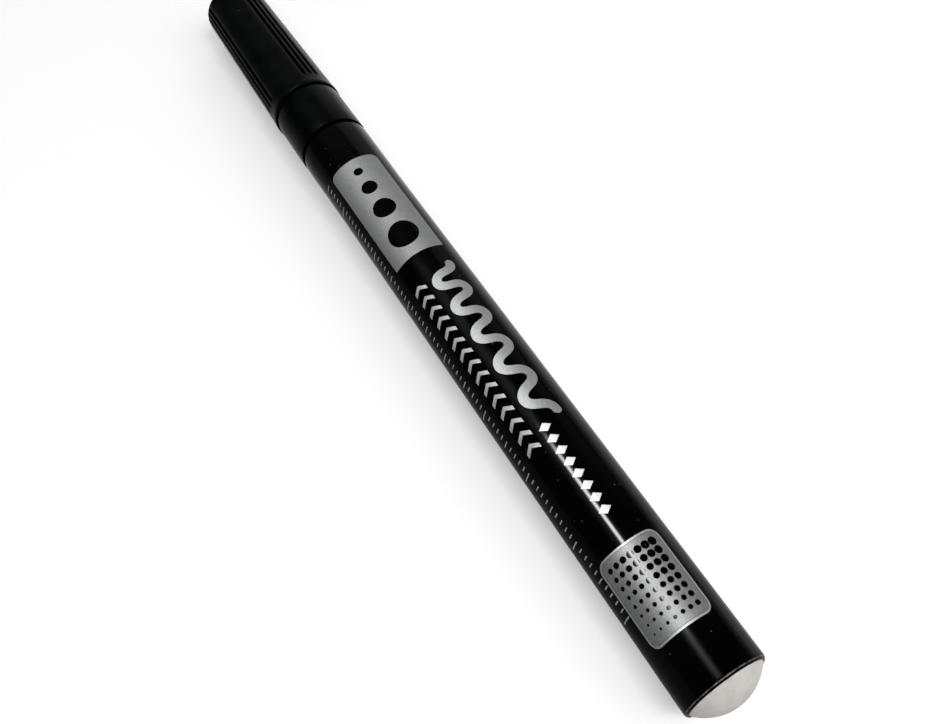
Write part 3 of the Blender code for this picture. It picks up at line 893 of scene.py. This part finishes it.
# Dim room above. The camera sees it white, and so does the gloss near the horizon on the bright side.
worldSpec = {"above": 0.05, "horizon": 0.10, "fade": 0.30, "shade": 0.4, "shadeLevel": 0.05}
world = bpy.data.worlds.new("studio")
bpy.context.scene.world = world
world.use_nodes = True
worldTree = world.node_tree
background = worldTree.nodes["Background"]
background.inputs["Color"].default_value = (1, 1, 1, 1)
skyCoords = addNode(worldTree, "ShaderNodeTexCoord")
skyParts = addNode(worldTree, "ShaderNodeSeparateXYZ", links={"Vector": (skyCoords, "Generated")})
nearHorizon = addNode(worldTree, "ShaderNodeMapRange",
                      {"From Min": worldSpec["fade"], "From Max": worldSpec["horizon"]},
                      {"Value": (skyParts, "Z")})
skyPath = addNode(worldTree, "ShaderNodeLightPath")
gloss = addNode(worldTree, "ShaderNodeMath", {"operation": "ADD"},
                {0: (skyPath, "Is Glossy Ray"), 1: (skyPath, "Is Transmission Ray")})
glossLow = addNode(worldTree, "ShaderNodeMath", {"operation": "MULTIPLY"},
                   {0: (gloss, "Value"), 1: (nearHorizon, "Result")})
skySide = addNode(worldTree, "ShaderNodeMapRange",
                  {"From Min": worldSpec["shade"], "From Max": -worldSpec["shade"],
                   "To Min": worldSpec["shadeLevel"]}, {"Value": (skyParts, "Y")})
glossSide = addNode(worldTree, "ShaderNodeMath", {"operation": "MULTIPLY"},
                    {0: (glossLow, "Value"), 1: (skySide, "Result")})
seen = addNode(worldTree, "ShaderNodeMath", {"operation": "ADD", "use_clamp": True},
               {0: (skyPath, "Is Camera Ray"), 1: (glossSide, "Value")})
sky = addNode(worldTree, "ShaderNodeMapRange", {"To Min": worldSpec["above"], "To Max": 1.0},
              {"Value": (seen, "Value")})
worldTree.links.new(sky.outputs["Result"], background.inputs["Strength"])


def addLamp(name, spec):
    # an area lamp in a direction from a point of the pen, facing that point, its second side along the pen
    lamp = bpy.data.lights.new(name, "AREA")
    lamp.shape = "RECTANGLE"
    lamp.size, lamp.size_y = spec["size"]
    lamp.energy = spec["power"]
    made = bpy.data.objects.new(name, lamp)
    outward = Vector(spec["way"]).normalized()
    along = (Vector((1, 0, 0)) - outward * outward.x).normalized()
    made.location = Vector((spec["target"] * mm, 0, axisHeight)) + outward * spec["distance"]
    made.rotation_euler = Matrix((along.cross(outward), along, outward)).transposed().to_euler()
    made.visible_camera = False
    made.visible_diffuse = spec.get("seenBy") != "gloss"
    made.visible_glossy = spec.get("seenBy") != "matt"
    if "feather" in spec:
        # the light fades towards the edges, over these shares of the way in across and along
        lamp.use_nodes = True
        tree = lamp.node_tree
        onLamp = addNode(tree, "ShaderNodeNewGeometry")
        parts = addNode(tree, "ShaderNodeSeparateXYZ", links={"Vector": (onLamp, "Parametric")})
        fades = []
        for side, share in zip("XY", spec["feather"]):
            offset = addNode(tree, "ShaderNodeMath", {"operation": "SUBTRACT", 1: 0.5}, {0: (parts, side)})
            away = addNode(tree, "ShaderNodeMath", {"operation": "ABSOLUTE"}, {0: (offset, "Value")})
            fade = {"interpolation_type": "SMOOTHSTEP", "From Min": 0.5, "From Max": 0.5 - share / 2}
            fades.append(addNode(tree, "ShaderNodeMapRange", fade, {"Value": (away, "Value")}))
        glow = addNode(tree, "ShaderNodeMath", {"operation": "MULTIPLY"},
                       {0: (fades[0], "Result"), 1: (fades[1], "Result")})
        tree.links.new(glow.outputs["Value"], tree.nodes["Emission"].inputs["Strength"])
    bpy.context.scene.collection.objects.link(made)


# Key, soft and side lamp light the pen; the other five are seen in the gloss only and have soft edges.
# The side lamp leaves the gloss to the flank lamp, which fades out towards the tail.
lamps = {
    "keyLamp": {"target": 0.0, "way": (-0.50, 0.15, 0.85), "distance": 0.8, "size": (0.62, 0.22),
                "power": 4.9},
    "softLamp": {"target": 0.0, "way": (-0.55, -0.42, 0.72), "distance": 0.9, "size": (0.9, 0.7),
                 "power": 4.6},
    "sideLamp": {"target": 20.0, "way": (0.643, -0.60, 0.46), "distance": 0.9, "size": (0.62, 0.8),
                 "power": 2.3, "seenBy": "matt"},
    "flankLamp": {"target": 0.0, "way": (0.707, -0.561, 0.430), "distance": 0.9, "size": (0.62, 1.2),
                  "power": 2.4, "feather": (0.5, 0.85), "seenBy": "gloss"},
    "farLamp": {"target": 10.0, "way": (0.70, 0.13, 0.70), "distance": 1.0, "size": (1.3, 0.55),
                "power": 0.8, "feather": (0.6, 0.3), "seenBy": "gloss"},
    "haloLamp": {"target": -20.0, "way": (0.353, 0.29, 0.89), "distance": 0.85, "size": (0.62, 0.60),
                 "power": 4.1, "feather": (1.0, 0.4), "seenBy": "gloss"},
    "stripLamp": {"target": -47.0, "way": (0.305, 0.244, 0.920), "distance": 0.6, "size": (0.13, 0.15),
                  "power": 18.0, "feather": (1.0, 0.3), "seenBy": "gloss"},
    "stripEndLamp": {"target": -63.0, "way": (0.128, 0.30, 0.945), "distance": 0.6, "size": (0.24, 0.13),
                     "power": 0.85, "feather": (1.0, 0.3), "seenBy": "gloss"},
}
for lampName, lampSpec in lamps.items():
    addLamp(lampName, lampSpec)

# Camera: the photograph's viewpoint, above the tail and a little to the left
cameraSpec = {"eye": (-0.081515, 0.035376, 0.111788), "azimuth": -121.236, "elevation": 52.516,
              "roll": -0.215, "lens": 37.463, "sensor": 36.0, "shift": (-0.0346, -0.0612), "near": 0.005}
camera = bpy.data.cameras.new("photoCamera")
camera.sensor_width = cameraSpec["sensor"]
camera.lens = cameraSpec["lens"]
# the photograph is a crop, its optical centre is off the middle
camera.shift_x, camera.shift_y = cameraSpec["shift"]
camera.clip_start = cameraSpec["near"]
cameraObject = bpy.data.objects.new("photoCamera", camera)
turnRound = math.radians(cameraSpec["azimuth"])
rise = math.radians(cameraSpec["elevation"])
backwards = Vector((math.sin(turnRound) * math.cos(rise), -math.cos(turnRound) * math.cos(rise),
                    math.sin(rise)))
cameraObject.location = cameraSpec["eye"]
level = backwards.to_track_quat("Z", "Y")
cameraObject.rotation_euler = (level @ Quaternion((0, 0, 1), math.radians(cameraSpec["roll"]))).to_euler()
bpy.context.scene.collection.objects.link(cameraObject)
bpy.context.scene.camera = cameraObject
bpy.context.scene.view_settings.view_transform = "Standard"
print("stage, lamps and camera set")
